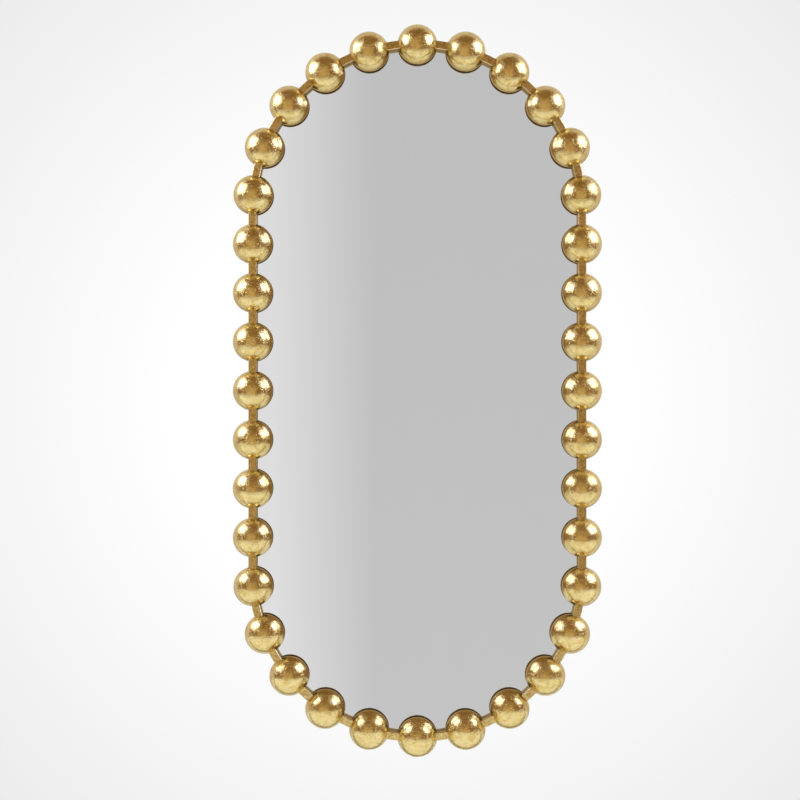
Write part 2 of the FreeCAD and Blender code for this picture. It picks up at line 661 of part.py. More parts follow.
def make_bumper(label, side, level):
    """A tapered rubber bumper, its own origin on the wall at the middle of its tip."""
    body = doc.addObject("PartDesign::Body", label)
    profile = new_sketch(body, f"{label}_profile", "XY_Plane")
    foot = ("sizes.bumper_diameter / 2", "-sizes.bumper_height")
    tip = ("sizes.bumper_tip / 2", "0")
    draw_polygon(profile, [("0", "0"), ("0", "-sizes.bumper_height"), foot, tip])
    turned = add_feature(body, "Revolution", f"{label}_turned", profile)
    turned.ReferenceAxis = (profile, ["V_Axis"])
    doc.recompute()
    dress_edges(body, "Fillet", f"{label}_rim", turned, lies_in("Y", 0), Radius="sizes.bumper_round")
    bind(
        body,
        Placement__Base__x=f"{side} * places.bumper_x",
        Placement__Base__z=f"{level} * places.bumper_z",
    )
    return body


# The mirror

def make_mirror():
    clips = clip_places()
    pieces = [make_hoop_half("hoop_upper_half", 0), make_hoop_half("hoop_lower_half", 180)]
    pieces += [make_joiner(f"hoop_joiner_{name}", side) for name, side in SIDES.items()]
    slot_cutter = make_slot_cutter()
    for number in range(bead_count()):
        place = hoop_place(number * bead_pitch())
        pieces.append(make_bead(f"bead_{number + 1:02d}", place, slot_cutter))
    pieces += [make_gasket(), make_glass(), make_tape(), make_board(strap_screw_places())]
    pieces.append(copies("retaining_clips", make_clip(), [on_hoop(*place) for place in clips]))
    under_head = Placement(Vector(places.clip_screw_line, -places.foot_back, 0), Rotation())
    clip_screws = [on_hoop(*place).multiply(under_head) for place in clips]
    pieces.append(copies("clip_screws", make_screw("clip"), clip_screws))
    hanger_screws = [Placement(place, Rotation()) for place in strap_screw_places()]
    pieces.append(copies("hanger_screws", make_screw("hanger"), hanger_screws))
    for name, side in SIDES.items():
        pieces.append(make_strap(f"hanger_strap_{name}", side))
        pieces.append(make_ring(f"hanging_ring_{name}", side))
        pieces.append(make_bumper(f"wall_bumper_upper_{name}", side, 1))
        pieces.append(make_bumper(f"wall_bumper_lower_{name}", side, -1))
    doc.recompute()
    return pieces


def check(pieces):
    """Stops the build if a feature failed or a piece is not a sound solid."""
    for made in doc.Objects:
        if {"Invalid", "Error"} & set(made.State):
            raise RuntimeError(f"{made.Label} failed: {made.State}")
    for piece in pieces:
        if piece.Shape.isNull() or not piece.Shape.isValid() or not piece.Shape.Solids:
            raise RuntimeError(f"{piece.Label} is not a valid solid")


def export(pieces):
    os.makedirs("parts", exist_ok=True)
    for piece in pieces:
        piece.Shape.exportStep(f"parts/{piece.Label}.step")


sizes = fill_sheet("sizes", SIZES)
places = fill_sheet("places", PLACES)
mirror = make_mirror()
check(mirror)
export(mirror)
print(f"{len(mirror)} pieces, {sum(len(piece.Shape.Solids) for piece in mirror)} solids")
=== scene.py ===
import math

import bmesh
import bpy
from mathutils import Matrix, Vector
from mathutils.noise import noise as noiseAt


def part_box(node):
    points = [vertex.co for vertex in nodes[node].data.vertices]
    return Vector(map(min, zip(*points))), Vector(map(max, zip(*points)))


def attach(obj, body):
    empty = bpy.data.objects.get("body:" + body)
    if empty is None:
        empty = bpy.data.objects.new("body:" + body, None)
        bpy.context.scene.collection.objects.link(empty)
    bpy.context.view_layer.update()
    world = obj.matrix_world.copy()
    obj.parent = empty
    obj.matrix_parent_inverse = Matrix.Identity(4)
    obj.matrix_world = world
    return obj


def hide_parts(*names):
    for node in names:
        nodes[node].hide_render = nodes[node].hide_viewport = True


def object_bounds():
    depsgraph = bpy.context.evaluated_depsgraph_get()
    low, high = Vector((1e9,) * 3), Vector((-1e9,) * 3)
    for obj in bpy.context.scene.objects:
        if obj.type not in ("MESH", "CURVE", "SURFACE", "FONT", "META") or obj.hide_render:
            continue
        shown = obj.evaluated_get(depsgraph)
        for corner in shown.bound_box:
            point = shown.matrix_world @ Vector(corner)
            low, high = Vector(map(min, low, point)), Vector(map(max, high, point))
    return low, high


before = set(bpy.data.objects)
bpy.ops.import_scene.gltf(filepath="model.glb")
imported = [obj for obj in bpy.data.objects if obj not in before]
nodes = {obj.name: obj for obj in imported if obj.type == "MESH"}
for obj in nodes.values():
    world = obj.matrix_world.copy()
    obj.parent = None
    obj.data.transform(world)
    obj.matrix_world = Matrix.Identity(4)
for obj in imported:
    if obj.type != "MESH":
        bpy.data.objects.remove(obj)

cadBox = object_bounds()  # the solids' box, before anything is added
scene = bpy.context.scene


# Small helpers for node trees

noiseSpread = (0.3, 0.7)  # most of a noise lies between these


def addNode(tree, kind, inputs=None, **settings):
    node = tree.nodes.new(kind)
    for name, value in settings.items():
        setattr(node, name, value)
    for place, value in (inputs or {}).items():  # by name or by number
        feed(tree, node.inputs[place], value)
    return node


def feed(tree, socket, value):
    # a link from another socket, or else a plain number or colour
    if isinstance(value, bpy.types.NodeSocket):
        tree.links.new(value, socket)
    elif socket.type == "RGBA" and len(value) == 3:
        socket.default_value = (*value, 1)
    else:
        socket.default_value = value


def axes(tree, vector):
    return addNode(tree, "ShaderNodeSeparateXYZ", {"Vector": vector}).outputs


def stretched(tree, where, scale):
    return addNode(tree, "ShaderNodeMapping", {"Vector": where, "Scale": scale}).outputs["Vector"]


def noise(tree, where, size, detail=3, rough=0.55, warp=0):
    # size is the grain's width in metres
    inputs = {
        "Vector": where,
        "Scale": 1 / size,
        "Detail": detail,
        "Roughness": rough,
        "Distortion": warp,
    }
    return addNode(tree, "ShaderNodeTexNoise", inputs).outputs["Fac"]


def span(tree, value, low, high, toLow=0, toHigh=1, smooth=True):
    inputs = {"Value": value, "From Min": low, "From Max": high, "To Min": toLow, "To Max": toHigh}
    shape = "SMOOTHSTEP" if smooth else "LINEAR"
    return addNode(tree, "ShaderNodeMapRange", inputs, interpolation_type=shape).outputs["Result"]


def calc(tree, operation, *values):
    return addNode(tree, "ShaderNodeMath", dict(enumerate(values)), operation=operation).outputs[0]


def flatLength(tree, x, z):
    flat = addNode(tree, "ShaderNodeCombineXYZ", {"X": x, "Z": z}).outputs[0]
    return addNode(tree, "ShaderNodeVectorMath", {0: flat}, operation="LENGTH").outputs["Value"]


def mixColour(tree, share, a, b):
    # sockets 0, 6 and 7 are the share and the two colours
    return addNode(tree, "ShaderNodeMix", {0: share, 6: a, 7: b}, data_type="RGBA").outputs[2]


def toned(colour, share):
    return [c * share for c in colour]


def ramp(tree, value, places, colours):
    node = addNode(tree, "ShaderNodeValToRGB", {"Fac": value})
    marks = node.color_ramp.elements
    while len(marks) < len(places):
        marks.new(1)
    for mark, place, colour in zip(marks, places, colours):
        mark.position = place
        mark.color = (*colour, 1)
    return node.outputs["Color"]


def bump(tree, height, depth, under=None):
    # depth in metres for a height that runs from 0 to 1
    inputs = {"Height": height, "Distance": depth, "Strength": 1}
    if under is not None:
        inputs["Normal"] = under
    return addNode(tree, "ShaderNodeBump", inputs).outputs["Normal"]


def newFinish(name):
    material = bpy.data.materials.new(name)
    material.use_nodes = True
    tree = material.node_tree
    where = addNode(tree, "ShaderNodeTexCoord").outputs["Object"]
    return material, tree, tree.nodes["Principled BSDF"], where


def setShader(tree, shader, values):
    for name, value in values.items():
        feed(tree, shader.inputs[name], value)


# Gold leaf over a brown ground. The leaf stops where the bead turns to the glass

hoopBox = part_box("hoop_upper_half")
hoopMiddle = (hoopBox[0].y + hoopBox[1].y) / 2  # the plane through the beads' middles
tubeWidth = 0.013                               # the hoop's face

beadLeaf = {
    "leaf": (0.82, 0.667, 0.292),
    "pale": (0.89, 0.757, 0.41),
    "worn": (0.65, 0.465, 0.15),
    "tones": (0.28, 0.48, 0.74),     # where worn, plain and pale leaf lie in the patches
    "patchSize": 0.011,
    "gloss": (0.28, 0.18),           # roughness of worn and of pale leaf
    "ground": (0.024, 0.014, 0.007),
    "groundDull": 0.45,              # roughness added on the bare ground
    "flakeSize": 0.005,
    "speckSize": 0.0009,
    "speckRange": (0.635, 0.705),    # higher leaves fewer breaks in the leaf
    "crinkleSize": 0.0026,
    "crinkleRange": (0.52, 0.80),
    "crinkleDepth": 0.00030,
    "swellSize": 0.006,
    "swellDepth": 0.00020,
    "stops": (-0.0015, 0.0040),      # behind the bead's middle, where the leaf thins out and ends
    "specular": 0.3,
}


def groundShare(tree, where, stops, flakeSize):
    # 0 on the leaf, 1 on the bare ground behind it, with torn flakes of leaf between
    depth = axes(tree, where)["Y"]
    flakes = noise(tree, where, flakeSize, detail=4, rough=0.7)
    torn = span(tree, flakes, *noiseSpread, -1, 1, smooth=False)
    reach = (stops[1] - stops[0]) / 2
    ragged = calc(tree, "ADD", depth, calc(tree, "MULTIPLY", torn, reach))
    return span(tree, ragged, hoopMiddle + stops[0], hoopMiddle + stops[1])


def makeBeadLeaf(look):
    material, tree, shader, where = newFinish("giltBeadLeaf")
    patches = noise(tree, where, look["patchSize"], detail=5, rough=0.6, warp=0.8)
    leaf = ramp(tree, patches, look["tones"], [look["worn"], look["leaf"], look["pale"]])
    gloss = span(tree, patches, *noiseSpread, *look["gloss"], smooth=False)
    specks = noise(tree, where, look["speckSize"], detail=2, rough=0.5)
    broken = span(tree, specks, *look["speckRange"])
    bare = calc(tree, "MAXIMUM", broken, groundShare(tree, where, look["stops"], look["flakeSize"]))
    swell = noise(tree, where, look["swellSize"], detail=2)
    relief = bump(tree, swell, look["swellDepth"])
    crinkle = noise(tree, where, look["crinkleSize"], detail=2, rough=0.5)
    crinkle = span(tree, crinkle, *look["crinkleRange"])
    setShader(tree, shader, {
        "Base Color": mixColour(tree, bare, leaf, look["ground"]),
        "Metallic": span(tree, bare, 0, 1, 1, 0, smooth=False),
        "Roughness": calc(tree, "ADD", gloss, calc(tree, "MULTIPLY", bare, look["groundDull"])),
        "Normal": bump(tree, crinkle, look["crinkleDepth"], under=relief),
        "Specular IOR Level": look["specular"],
    })
    return material


# Brushed brown ground inside the beads

beadInside = {
    "colour": (0.055, 0.036, 0.022),
    "lighter": 1.9,                  # brush marks, against the colour
    "brushSize": 0.004,
    "brushRange": (0.35, 0.75),
    "brushDepth": 0.00015,
    "rough": (0.6, 0.8),
    "specular": 0.3,
}


def makeBeadInside(look):
    material, tree, shader, where = newFinish("beadInside")
    brushed = noise(tree, where, look["brushSize"], detail=4, rough=0.65, warp=1.2)
    marks = span(tree, brushed, *look["brushRange"])
    setShader(tree, shader, {
        "Base Color": mixColour(tree, marks, look["colour"], toned(look["colour"], look["lighter"])),
        "Roughness": span(tree, brushed, *noiseSpread, *look["rough"], smooth=False),
        "Normal": bump(tree, brushed, look["brushDepth"]),
        "Specular IOR Level": look["specular"],
    })
    return material


# Grainier leaf on the hoop

hoopLeaf = {
    "leaf": (0.65, 0.49, 0.19),
    "pale": (0.87, 0.72, 0.37),
    "worn": (0.33, 0.21, 0.06),
    "tones": (0.38, 0.50, 0.62),     # where worn, plain and pale leaf lie in patches and grain
    "patchSize": 0.006,
    "patchShare": 0.4,               # against the grain's share, which is the rest
    "grainSize": 0.0024,
    "grainDepth": 0.00055,
    "gloss": (0.40, 0.26),           # roughness of worn and of pale leaf
    "glossRange": (0.35, 0.65),
    "edge": (0.90, 0.76, 0.44),      # burnished along the corners, and paler there as a painted edge highlight
    "edgeWidth": 0.0012,
    "edgePolish": 0.12,              # roughness taken off there
    "thin": (0.46, 0.36, 0.18),      # thin leaf on its sides, towards the glass
    "thinMetal": 0.45,
    "thinDull": 0.25,                # roughness added there
    "stops": (-0.009, -0.002),       # from the tube's middle, where the leaf gets thin
    "lean": 0.16,                    # slope of the rolled face, outwards
    "specular": 0.3,
}


def outFromMiddle(tree, where):
    # distance from the line between the middles of the two end arcs
    x, y, z = axes(tree, where)
    arcLevel = hoopBox[1].z - hoopBox[1].x
    past = calc(tree, "SUBTRACT", calc(tree, "ABSOLUTE", z), arcLevel)
    return flatLength(tree, x, calc(tree, "MAXIMUM", past, 0))


def makeHoopLeaf(look):
    material, tree, shader, where = newFinish("giltHoopLeaf")
    patches = noise(tree, where, look["patchSize"], detail=4, rough=0.65, warp=0.6)
    grain = noise(tree, where, look["grainSize"], detail=3, rough=0.65)
    inPatches = calc(tree, "MULTIPLY", patches, look["patchShare"])
    inGrain = calc(tree, "MULTIPLY", grain, 1 - look["patchShare"])
    both = calc(tree, "ADD", inPatches, inGrain)
    leaf = ramp(tree, both, look["tones"], [look["worn"], look["leaf"], look["pale"]])
    gloss = span(tree, both, *look["glossRange"], *look["gloss"], smooth=False)
    out = outFromMiddle(tree, where)
    rolled = bump(tree, calc(tree, "MULTIPLY", out, -1), look["lean"])
    # a pale line along the tube's corners: burnished leaf with a painted edge highlight
    offLine = calc(tree, "ABSOLUTE", calc(tree, "SUBTRACT", out, hoopBox[1].x - tubeWidth / 2))
    edge = span(tree, offLine, tubeWidth / 2 - look["edgeWidth"], tubeWidth / 2)
    leaf = mixColour(tree, edge, leaf, look["edge"])
    gloss = calc(tree, "SUBTRACT", gloss, calc(tree, "MULTIPLY", edge, look["edgePolish"]))
    thin = groundShare(tree, where, look["stops"], look["patchSize"])
    setShader(tree, shader, {
        "Base Color": mixColour(tree, thin, leaf, look["thin"]),
        "Metallic": span(tree, thin, 0, 1, 1, look["thinMetal"], smooth=False),
        "Roughness": calc(tree, "ADD", gloss, calc(tree, "MULTIPLY", thin, look["thinDull"])),
        "Normal": bump(tree, grain, look["grainDepth"], under=rolled),
        "Specular IOR Level": look["specular"],
    })
    return material


# Silvered glass: silver seen from the front, a ground edge, grey paint behind

mirrorGlass = {
    "silver": {"colour": (0.865, 0.865, 0.865), "darker": 0.985, "grain": 0.05, "detail": 3},
    "edge": {"colour": (0.42, 0.58, 0.50), "darker": 0.85, "grain": 0.0006, "detail": 3},
    "paint": {"colour": (0.20, 0.21, 0.20), "darker": 0.8, "grain": 0.0009, "detail": 2},
    "rough": (0.28, 0.55),           # of the edge and of the paint
    "facing": (0.80, 0.95),          # how straight a face looks forwards or back to be silver or paint
}


def grainy(tree, where, coat):
    grain = noise(tree, where, coat["grain"], detail=coat["detail"])
    return mixColour(tree, grain, coat["colour"], toned(coat["colour"], coat["darker"]))


def makeMirrorGlass(look):
    material, tree, shader, where = newFinish("silveredGlass")
    turned = axes(tree, where.node.outputs["Normal"])["Y"]
    start, full = look["facing"]
    front = span(tree, turned, -start, -full)
    back = span(tree, turned, start, full)
    silver, edge, paint = [grainy(tree, where, look[coat]) for coat in ("silver", "edge", "paint")]
    dull = span(tree, back, 0, 1, *look["rough"], smooth=False)
    polish = span(tree, front, 0, 1, 1, 0)  # quite sharp on the silvered face
    setShader(tree, shader, {
        "Base Color": mixColour(tree, front, mixColour(tree, back, edge, paint), silver),
        "Metallic": front,
        "Roughness": calc(tree, "MULTIPLY", dull, polish),
    })
    return material


# Black painted fibreboard

boardPaint = {
    "paint": (0.022, 0.022, 0.023),
    "thin": (0.090, 0.076, 0.062),   # fibre that shows through the spray coat
    "fibreSize": 0.0016,
    "fibreStretch": (1, 1, 0.25),    # fibres lie up and down
    "fibreRange": (0.52, 0.72),
    "fibreDepth": 0.00009,
    "cloudSize": 0.07,
    "cloudRange": (0.35, 0.70),
    "cloudShow": (0.2, 1),           # how much fibre shows, from a thick coat to a thin one
    "rough": (0.50, 0.66),
    "specular": 0.35,
}


def makeBoardPaint(look):
    material, tree, shader, where = newFinish("blackFibreboard")
    along = stretched(tree, where, look["fibreStretch"])
    fibre = noise(tree, along, look["fibreSize"], detail=5, rough=0.65, warp=0.6)
    cloud = noise(tree, where, look["cloudSize"], detail=4, rough=0.6)
    bare = span(tree, cloud, *look["cloudRange"], *look["cloudShow"])
    show = calc(tree, "MULTIPLY", span(tree, fibre, *look["fibreRange"]), bare)
    setShader(tree, shader, {
        "Base Color": mixColour(tree, show, look["paint"], look["thin"]),
        "Roughness": span(tree, cloud, *noiseSpread, *look["rough"], smooth=False),
        "Normal": bump(tree, fibre, look["fibreDepth"]),
        "Specular IOR Level": look["specular"],
    })
    return material


# Steel and zinc plate, with spangle and rolling lines

plates = {
    "joiner_steel": {
        "name": "millSteel",
        "colour": (0.46, 0.45, 0.44),
        "gloss": (0.30, 0.45),
        "spangleSize": 0.004,
        "lineSize": 0.0005,
        "lineDepth": 0.00004,
    },
    "clip_steel": {
        "name": "clipZinc",
        "colour": (0.58, 0.58, 0.57),
        "gloss": (0.24, 0.38),
        "spangleSize": 0.003,
        "lineSize": 0.0004,
        "lineDepth": 0.00003,
    },
    "hanger_zinc": {
        "name": "hangerZinc",
        "colour": (0.66, 0.66, 0.64),
        "gloss": (0.18, 0.32),
        "spangleSize": 0.0022,
        "lineSize": 0.0003,
        "lineDepth": 0.00002,
    },
}
plateWear = {
    "spangle": 0.86,                 # the darkest spangle, against the plate's colour
    "stain": (0.62, 0.58, 0.52),     # the darkest stain, against the plate's colour
    "stainSize": 4,                  # in spangles
    "stainRange": (0.55, 0.80),
    "stainMost": 0.6,
    "glossRange": (0.3, 1.4),        # of spangle and stain together
    "lineStretch": (1, 1, 0.06),     # rolling lines run up and down
}


def makePlate(look, wear):
    material, tree, shader, where = newFinish(look["name"])
    colour = look["colour"]
    spangle = addNode(tree, "ShaderNodeTexVoronoi", {"Vector": where, "Scale": 1 / look["spangleSize"]})
    tone = addNode(tree, "ShaderNodeSeparateColor", {"Color": spangle.outputs["Color"]}).outputs["Red"]
    plate = mixColour(tree, tone, colour, toned(colour, wear["spangle"]))
    stain = noise(tree, where, look["spangleSize"] * wear["stainSize"], detail=4, rough=0.65)
    stained = span(tree, stain, *wear["stainRange"], 0, wear["stainMost"])
    dark = [c * share for c, share in zip(colour, wear["stain"])]
    dulled = calc(tree, "ADD", tone, stain)
    lines = noise(tree, stretched(tree, where, wear["lineStretch"]), look["lineSize"], detail=3)
    setShader(tree, shader, {
        "Base Color": mixColour(tree, stained, plate, dark),
        "Metallic": 1.0,
        "Roughness": span(tree, dulled, *wear["glossRange"], *look["gloss"], smooth=False),
        "Normal": bump(tree, lines, look["lineDepth"]),
    })
    return material


# Rubber and foam

softParts = {
    "gasket_rubber": {
        "name": "gasketRubber",
        "colour": (0.020, 0.020, 0.020),
        "bloom": (0.045, 0.044, 0.042),
        "bloomSize": 0.0045,
        "grainSize": 0.0005,
        "grainDepth": 0.00004,
        "rough": (0.52, 0.68),
    },
    "foam_tape": {
        "name": "foamTape",
        "colour": (0.74, 0.74, 0.71),
        "bloom": (0.62, 0.61, 0.57),
        "bloomSize": 0.0036,
        "grainSize": 0.0004,
        "grainDepth": 0.0001,
        "rough": (0.72, 0.88),
    },
    "bumper_rubber": {
        "name": "bumperRubber",
        "colour": (0.030, 0.030, 0.031),
        "bloom": (0.07, 0.068, 0.064),
        "bloomSize": 0.0036,
        "grainSize": 0.0004,
        "grainDepth": 0.00004,
        "rough": (0.50, 0.66),
    },
}
bloomRange = (0.42, 0.75)
softSpecular = 0.35


def makeSoftPart(look):
    material, tree, shader, where = newFinish(look["name"])
    grain = noise(tree, where, look["grainSize"], detail=3, rough=0.6)
    bloom = noise(tree, where, look["bloomSize"], detail=4, rough=0.6)
    setShader(tree, shader, {
        "Base Color": mixColour(tree, span(tree, bloom, *bloomRange), look["colour"], look["bloom"]),
        "Roughness": span(tree, bloom, *noiseSpread, *look["rough"], smooth=False),
        "Normal": bump(tree, grain, look["grainDepth"]),
        "Specular IOR Level": softSpecular,
    })
    return material


# Every solid gets the finish that its slot names

finishes = {
    "gilt_bead": makeBeadLeaf(beadLeaf),
    "gilt_hoop": makeHoopLeaf(hoopLeaf),
    "mirror": makeMirrorGlass(mirrorGlass),
    "black_board": makeBoardPaint(boardPaint),
}
for slot, look in plates.items():
    finishes[slot] = makePlate(look, plateWear)
for slot, look in softParts.items():
    finishes[slot] = makeSoftPart(look)
for node in nodes.values():
    for place in node.material_slots:
        place.material = finishes[place.material.name]
print("finishes on", len(nodes), "solids")


# Pressed beads: a thin dented ball, open behind, notched where the tube passes through

toWall = Vector((0, 1, 0))

pressedBead = {
    "radius": (cadBox[1].x - cadBox[0].x) / 2 - hoopBox[1].x + tubeWidth / 2,
    "fit": 0.0001,
    "wall": 0.0012,
    "domeRows": 26,
    "skirtRows": 16,
    "sideColumns": 38,     # on the outer side, and as many on the inner side
    "notchColumns": 8,
    "dentSize": 0.012,
    "dentDepth": 0.00022,
    "dentFade": 0.3,       # radians before the open edge, over which the dents run out
    "lip": 0.00025,
    "lipSteps": 2,
    "lipAngle": 50,        # degrees: sharper edges are rolled
    "smoothAngle": 40,     # degrees: flatter edges are shaded smooth
}


def beadPlaces():
    names = sorted(name for name in nodes if name.startswith("bead_"))
    middles = []
    for name in names:
        low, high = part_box(name)
        middles.append(Vector(((low.x + high.x) / 2, hoopMiddle, (low.z + high.z) / 2)))
    for i, name in enumerate(names):
        before, after = middles[i - 1], middles[(i + 1) % len(names)]
        yield name, middles[i], before, after


def beadPoints(middle, before, after, setup):
    # the front point, then rows round the bead from front to back
    radius = setup["radius"]
    along = (after - before).normalized()
    outward = along.cross(toWall)
    # on the arcs the tube leaves the bead a little inside the straight line through it
    sag = ((before + after) / 2 - middle).length
    halfPitch = (after - before).length / 2
    bend = sag / halfPitch ** 2 * radius
    tubeDepth = (hoopBox[1].y - hoopBox[0].y) / 2 + setup["fit"]
    notchStart = math.acos(tubeDepth / radius)
    openEdge = math.acos(-tubeDepth / radius)
    halfNotch = tubeWidth / 2 + setup["fit"]
    rows = [notchStart * (i + 1) / setup["domeRows"] for i in range(setup["domeRows"])]
    skirt = (openEdge - notchStart) / setup["skirtRows"]
    rows += [notchStart + skirt * (i + 1) for i in range(setup["skirtRows"])]

    def onBead(tilt, turn):
        flat = along * math.cos(turn) + outward * math.sin(turn)
        way = flat * math.sin(tilt) - toWall * math.cos(tilt)
        dent = 0.5 + 0.5 * noiseAt((middle + way * radius) / setup["dentSize"])  # from 0 to 1
        edgeFade = min(1, abs(openEdge - tilt) / setup["dentFade"])
        return middle + way * (radius - setup["dentDepth"] * dent * edgeFade)

    def turns(tilt):
        edge = math.asin(halfNotch / (radius * math.sin(max(tilt, notchStart))))
        sectors = [
            (-bend - edge, -bend + edge, setup["notchColumns"]),
            (-bend + edge, math.pi + bend - edge, setup["sideColumns"]),
            (math.pi + bend - edge, math.pi + bend + edge, setup["notchColumns"]),
            (math.pi + bend + edge, 2 * math.pi - bend - edge, setup["sideColumns"]),
        ]
        return [a + (b - a) * i / count for a, b, count in sectors for i in range(count)]

    points = [onBead(0, 0)]
    for tilt in rows:
        points += [onBead(tilt, turn) for turn in turns(tilt)]
    return points


def beadFaces(setup):
    half = setup["notchColumns"] + setup["sideColumns"]
    around = 2 * half
    faces = [(0, 1 + (i + 1) % around, 1 + i) for i in range(around)]
    for row in range(setup["domeRows"] + setup["skirtRows"] - 1):
        low, high = 1 + row * around, 1 + (row + 1) * around
        for i in range(around):
            if row + 1 >= setup["domeRows"] and i % half < setup["notchColumns"]:
                continue  # the notch, where the tube passes
            j = (i + 1) % around
            faces.append((low + i, low + j, high + j, high + i))
    return faces


def beadMesh(name, points, faces):
    mesh = bpy.data.meshes.new(name)
    mesh.from_pydata(points, [], faces)
    shape = bmesh.new()
    shape.from_mesh(mesh)
    loose = [v for v in shape.verts if not v.link_faces]  # the points inside the notches
    bmesh.ops.delete(shape, geom=loose, context="VERTS")
    bmesh.ops.recalc_face_normals(shape, faces=shape.faces)
    shape.to_mesh(mesh)
    shape.free()
    return mesh


def thicken(piece, setup):
    wall = piece.modifiers.new("wall", "SOLIDIFY")
    wall.thickness = setup["wall"]
    wall.offset = -1
    wall.material_offset = 1
    wall.material_offset_rim = 1
    lip = piece.modifiers.new("lip", "BEVEL")
    lip.width = setup["lip"]
    lip.segments = setup["lipSteps"]
    lip.limit_method = "ANGLE"
    lip.angle_limit = math.radians(setup["lipAngle"])
    graph = bpy.context.evaluated_depsgraph_get()
    done = bpy.data.meshes.new_from_object(piece.evaluated_get(graph))
    piece.modifiers.clear()
    piece.data = done
    piece.data.shade_smooth()
    piece.data.set_sharp_from_angle(angle=math.radians(setup["smoothAngle"]))


def pressBeads(setup, leaf, inside):
    faces = beadFaces(setup)
    for node, middle, before, after in beadPlaces():
        name = node.replace("bead", "pressedBead")
        mesh = beadMesh(name, beadPoints(middle, before, after, setup), faces)
        piece = bpy.data.objects.new(name, mesh)
        scene.collection.objects.link(piece)
        piece.data.materials.append(leaf)
        piece.data.materials.append(inside)
        thicken(piece, setup)
        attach(piece, "mirror")
        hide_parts(node)


pressBeads(pressedBead, finishes["gilt_bead"], makeBeadInside(beadInside))
print("beads pressed")


# Camera, straight in front, a little left of and below the middle

photoView = {
    "from": (-0.0285, -4.2355, -0.0153),
    "reach": 4.2,              # to the middle of the beads
    "frameWidth": 1.312,       # what the square picture takes in at that distance
    "sensor": 36,              # millimetres
    "clipEnd": 60,
}


def placeCamera(setup):
    data = bpy.data.cameras.new("photoCamera")
    data.sensor_width = setup["sensor"]
    data.lens = setup["sensor"] * setup["reach"] / setup["frameWidth"]
    data.clip_end = setup["clipEnd"]
    camera = bpy.data.objects.new("photoCamera", data)
    camera.location = setup["from"]
    camera.rotation_euler = (math.radians(90), 0, 0)
    scene.collection.objects.link(camera)
    scene.camera = camera
    print("camera lens", round(data.lens, 1), "mm")


placeCamera(photoView)


# Flat pieces of the stage: the softboxes' cloth and the floor

def flatPiece(name, across, deep, level=0):
    left, right = across
    front, back = deep
    corners = [(left, front, level), (right, front, level), (right, back, level), (left, back, level)]
    mesh = bpy.data.meshes.new(name)
    mesh.from_pydata(corners, [], [(0, 1, 2, 3)])
    piece = bpy.data.objects.new(name, mesh)
    scene.collection.objects.link(piece)
    return piece


# Two softboxes, high at either side

softbox = {
    "turn": 78,                  # degrees from straight ahead, to the left and to the right
    "rise": 31,                  # degrees up
    "distance": 2.2,
    "size": (2.15, 1.82),
    "glow": 2.5,                 # the light it gives, where 1 is white
    "cloth": (3.6, 3.7, 4.6),    # its cool white cloth, as metal and glass show it
    "fade": (1.0, 0.5),          # the cloth is clear at its edge and full from half way in
}


def makeCloth(setup):
    material, tree, shader, where = newFinish("softboxCloth")
    shares = []
    for place, size in zip(axes(tree, where), setup["size"]):
        edge, full = [part * size / 2 for part in setup["fade"]]
        shares.append(span(tree, calc(tree, "ABSOLUTE", place), edge, full))
    share = calc(tree, "MULTIPLY", *shares)
    tree.nodes.remove(shader)
    clear = addNode(tree, "ShaderNodeBsdfTransparent").outputs[0]
    glow = addNode(tree, "ShaderNodeEmission", {"Color": setup["cloth"]}).outputs[0]
    mix = addNode(tree, "ShaderNodeMixShader", {0: share, 1: clear, 2: glow})
    feed(tree, tree.nodes["Material Output"].inputs["Surface"], mix.outputs[0])
    return material


def placeSoftbox(setup, side, finish):
    width, height = setup["size"]
    turn = math.radians(setup["turn"]) * side
    rise = math.radians(setup["rise"])
    ahead = Vector((math.sin(turn) * math.cos(rise), -math.cos(turn) * math.cos(rise), math.sin(rise)))
    data = bpy.data.lights.new("softbox", "AREA")
    data.shape = "RECTANGLE"
    data.size, data.size_y = width, height
    data.energy = setup["glow"] * math.pi * width * height
    light = bpy.data.objects.new("softbox", data)
    light.location = ahead * setup["distance"]
    light.rotation_euler = ahead.to_track_quat("Z", "Y").to_euler()
    light.visible_camera = False
    light.visible_glossy = False  # metal and glass show the cloth instead
    scene.collection.objects.link(light)
    name = "softboxClothLeft" if side < 0 else "softboxClothRight"
    cloth = flatPiece(name, (-width / 2, width / 2), (-height / 2, height / 2))
    cloth.location, cloth.rotation_euler = light.location, light.rotation_euler
    cloth.visible_camera = cloth.visible_diffuse = cloth.visible_shadow = False
    cloth.data.materials.append(finish)


cloth = makeCloth(softbox)
for side in (-1, 1):
    placeSoftbox(softbox, side, cloth)
print("softboxes placed")


# Studio floor, out of the picture below the mirror

floorPaper = {
    "level": -0.82,
    "front": -1.80,
    "back": 0.60,
    "halfWidth": 3.0,
    "colour": (0.78, 0.78, 0.77),
    "cloud": 0.985,                  # faint clouds, against the colour
    "cloudSize": 0.4,
    "rough": 0.9,
    "specular": 0.1,
    "near": (0.84, 0.83, 0.80),      # what polished metal shows of its middle, painted light paler than the paper
    "far": (0.55, 0.52, 0.47),       # and of its front, painted shade darker away from the mirror
    "farStart": (-0.60, -1.75),
    "shade": (0.20, 0.135, 0.075),   # and a painted shadow in a strip just behind the mirror's plane
    "shadeStart": (0.04, 0.13),
    "shadeEnd": (0.30, 0.19),
}


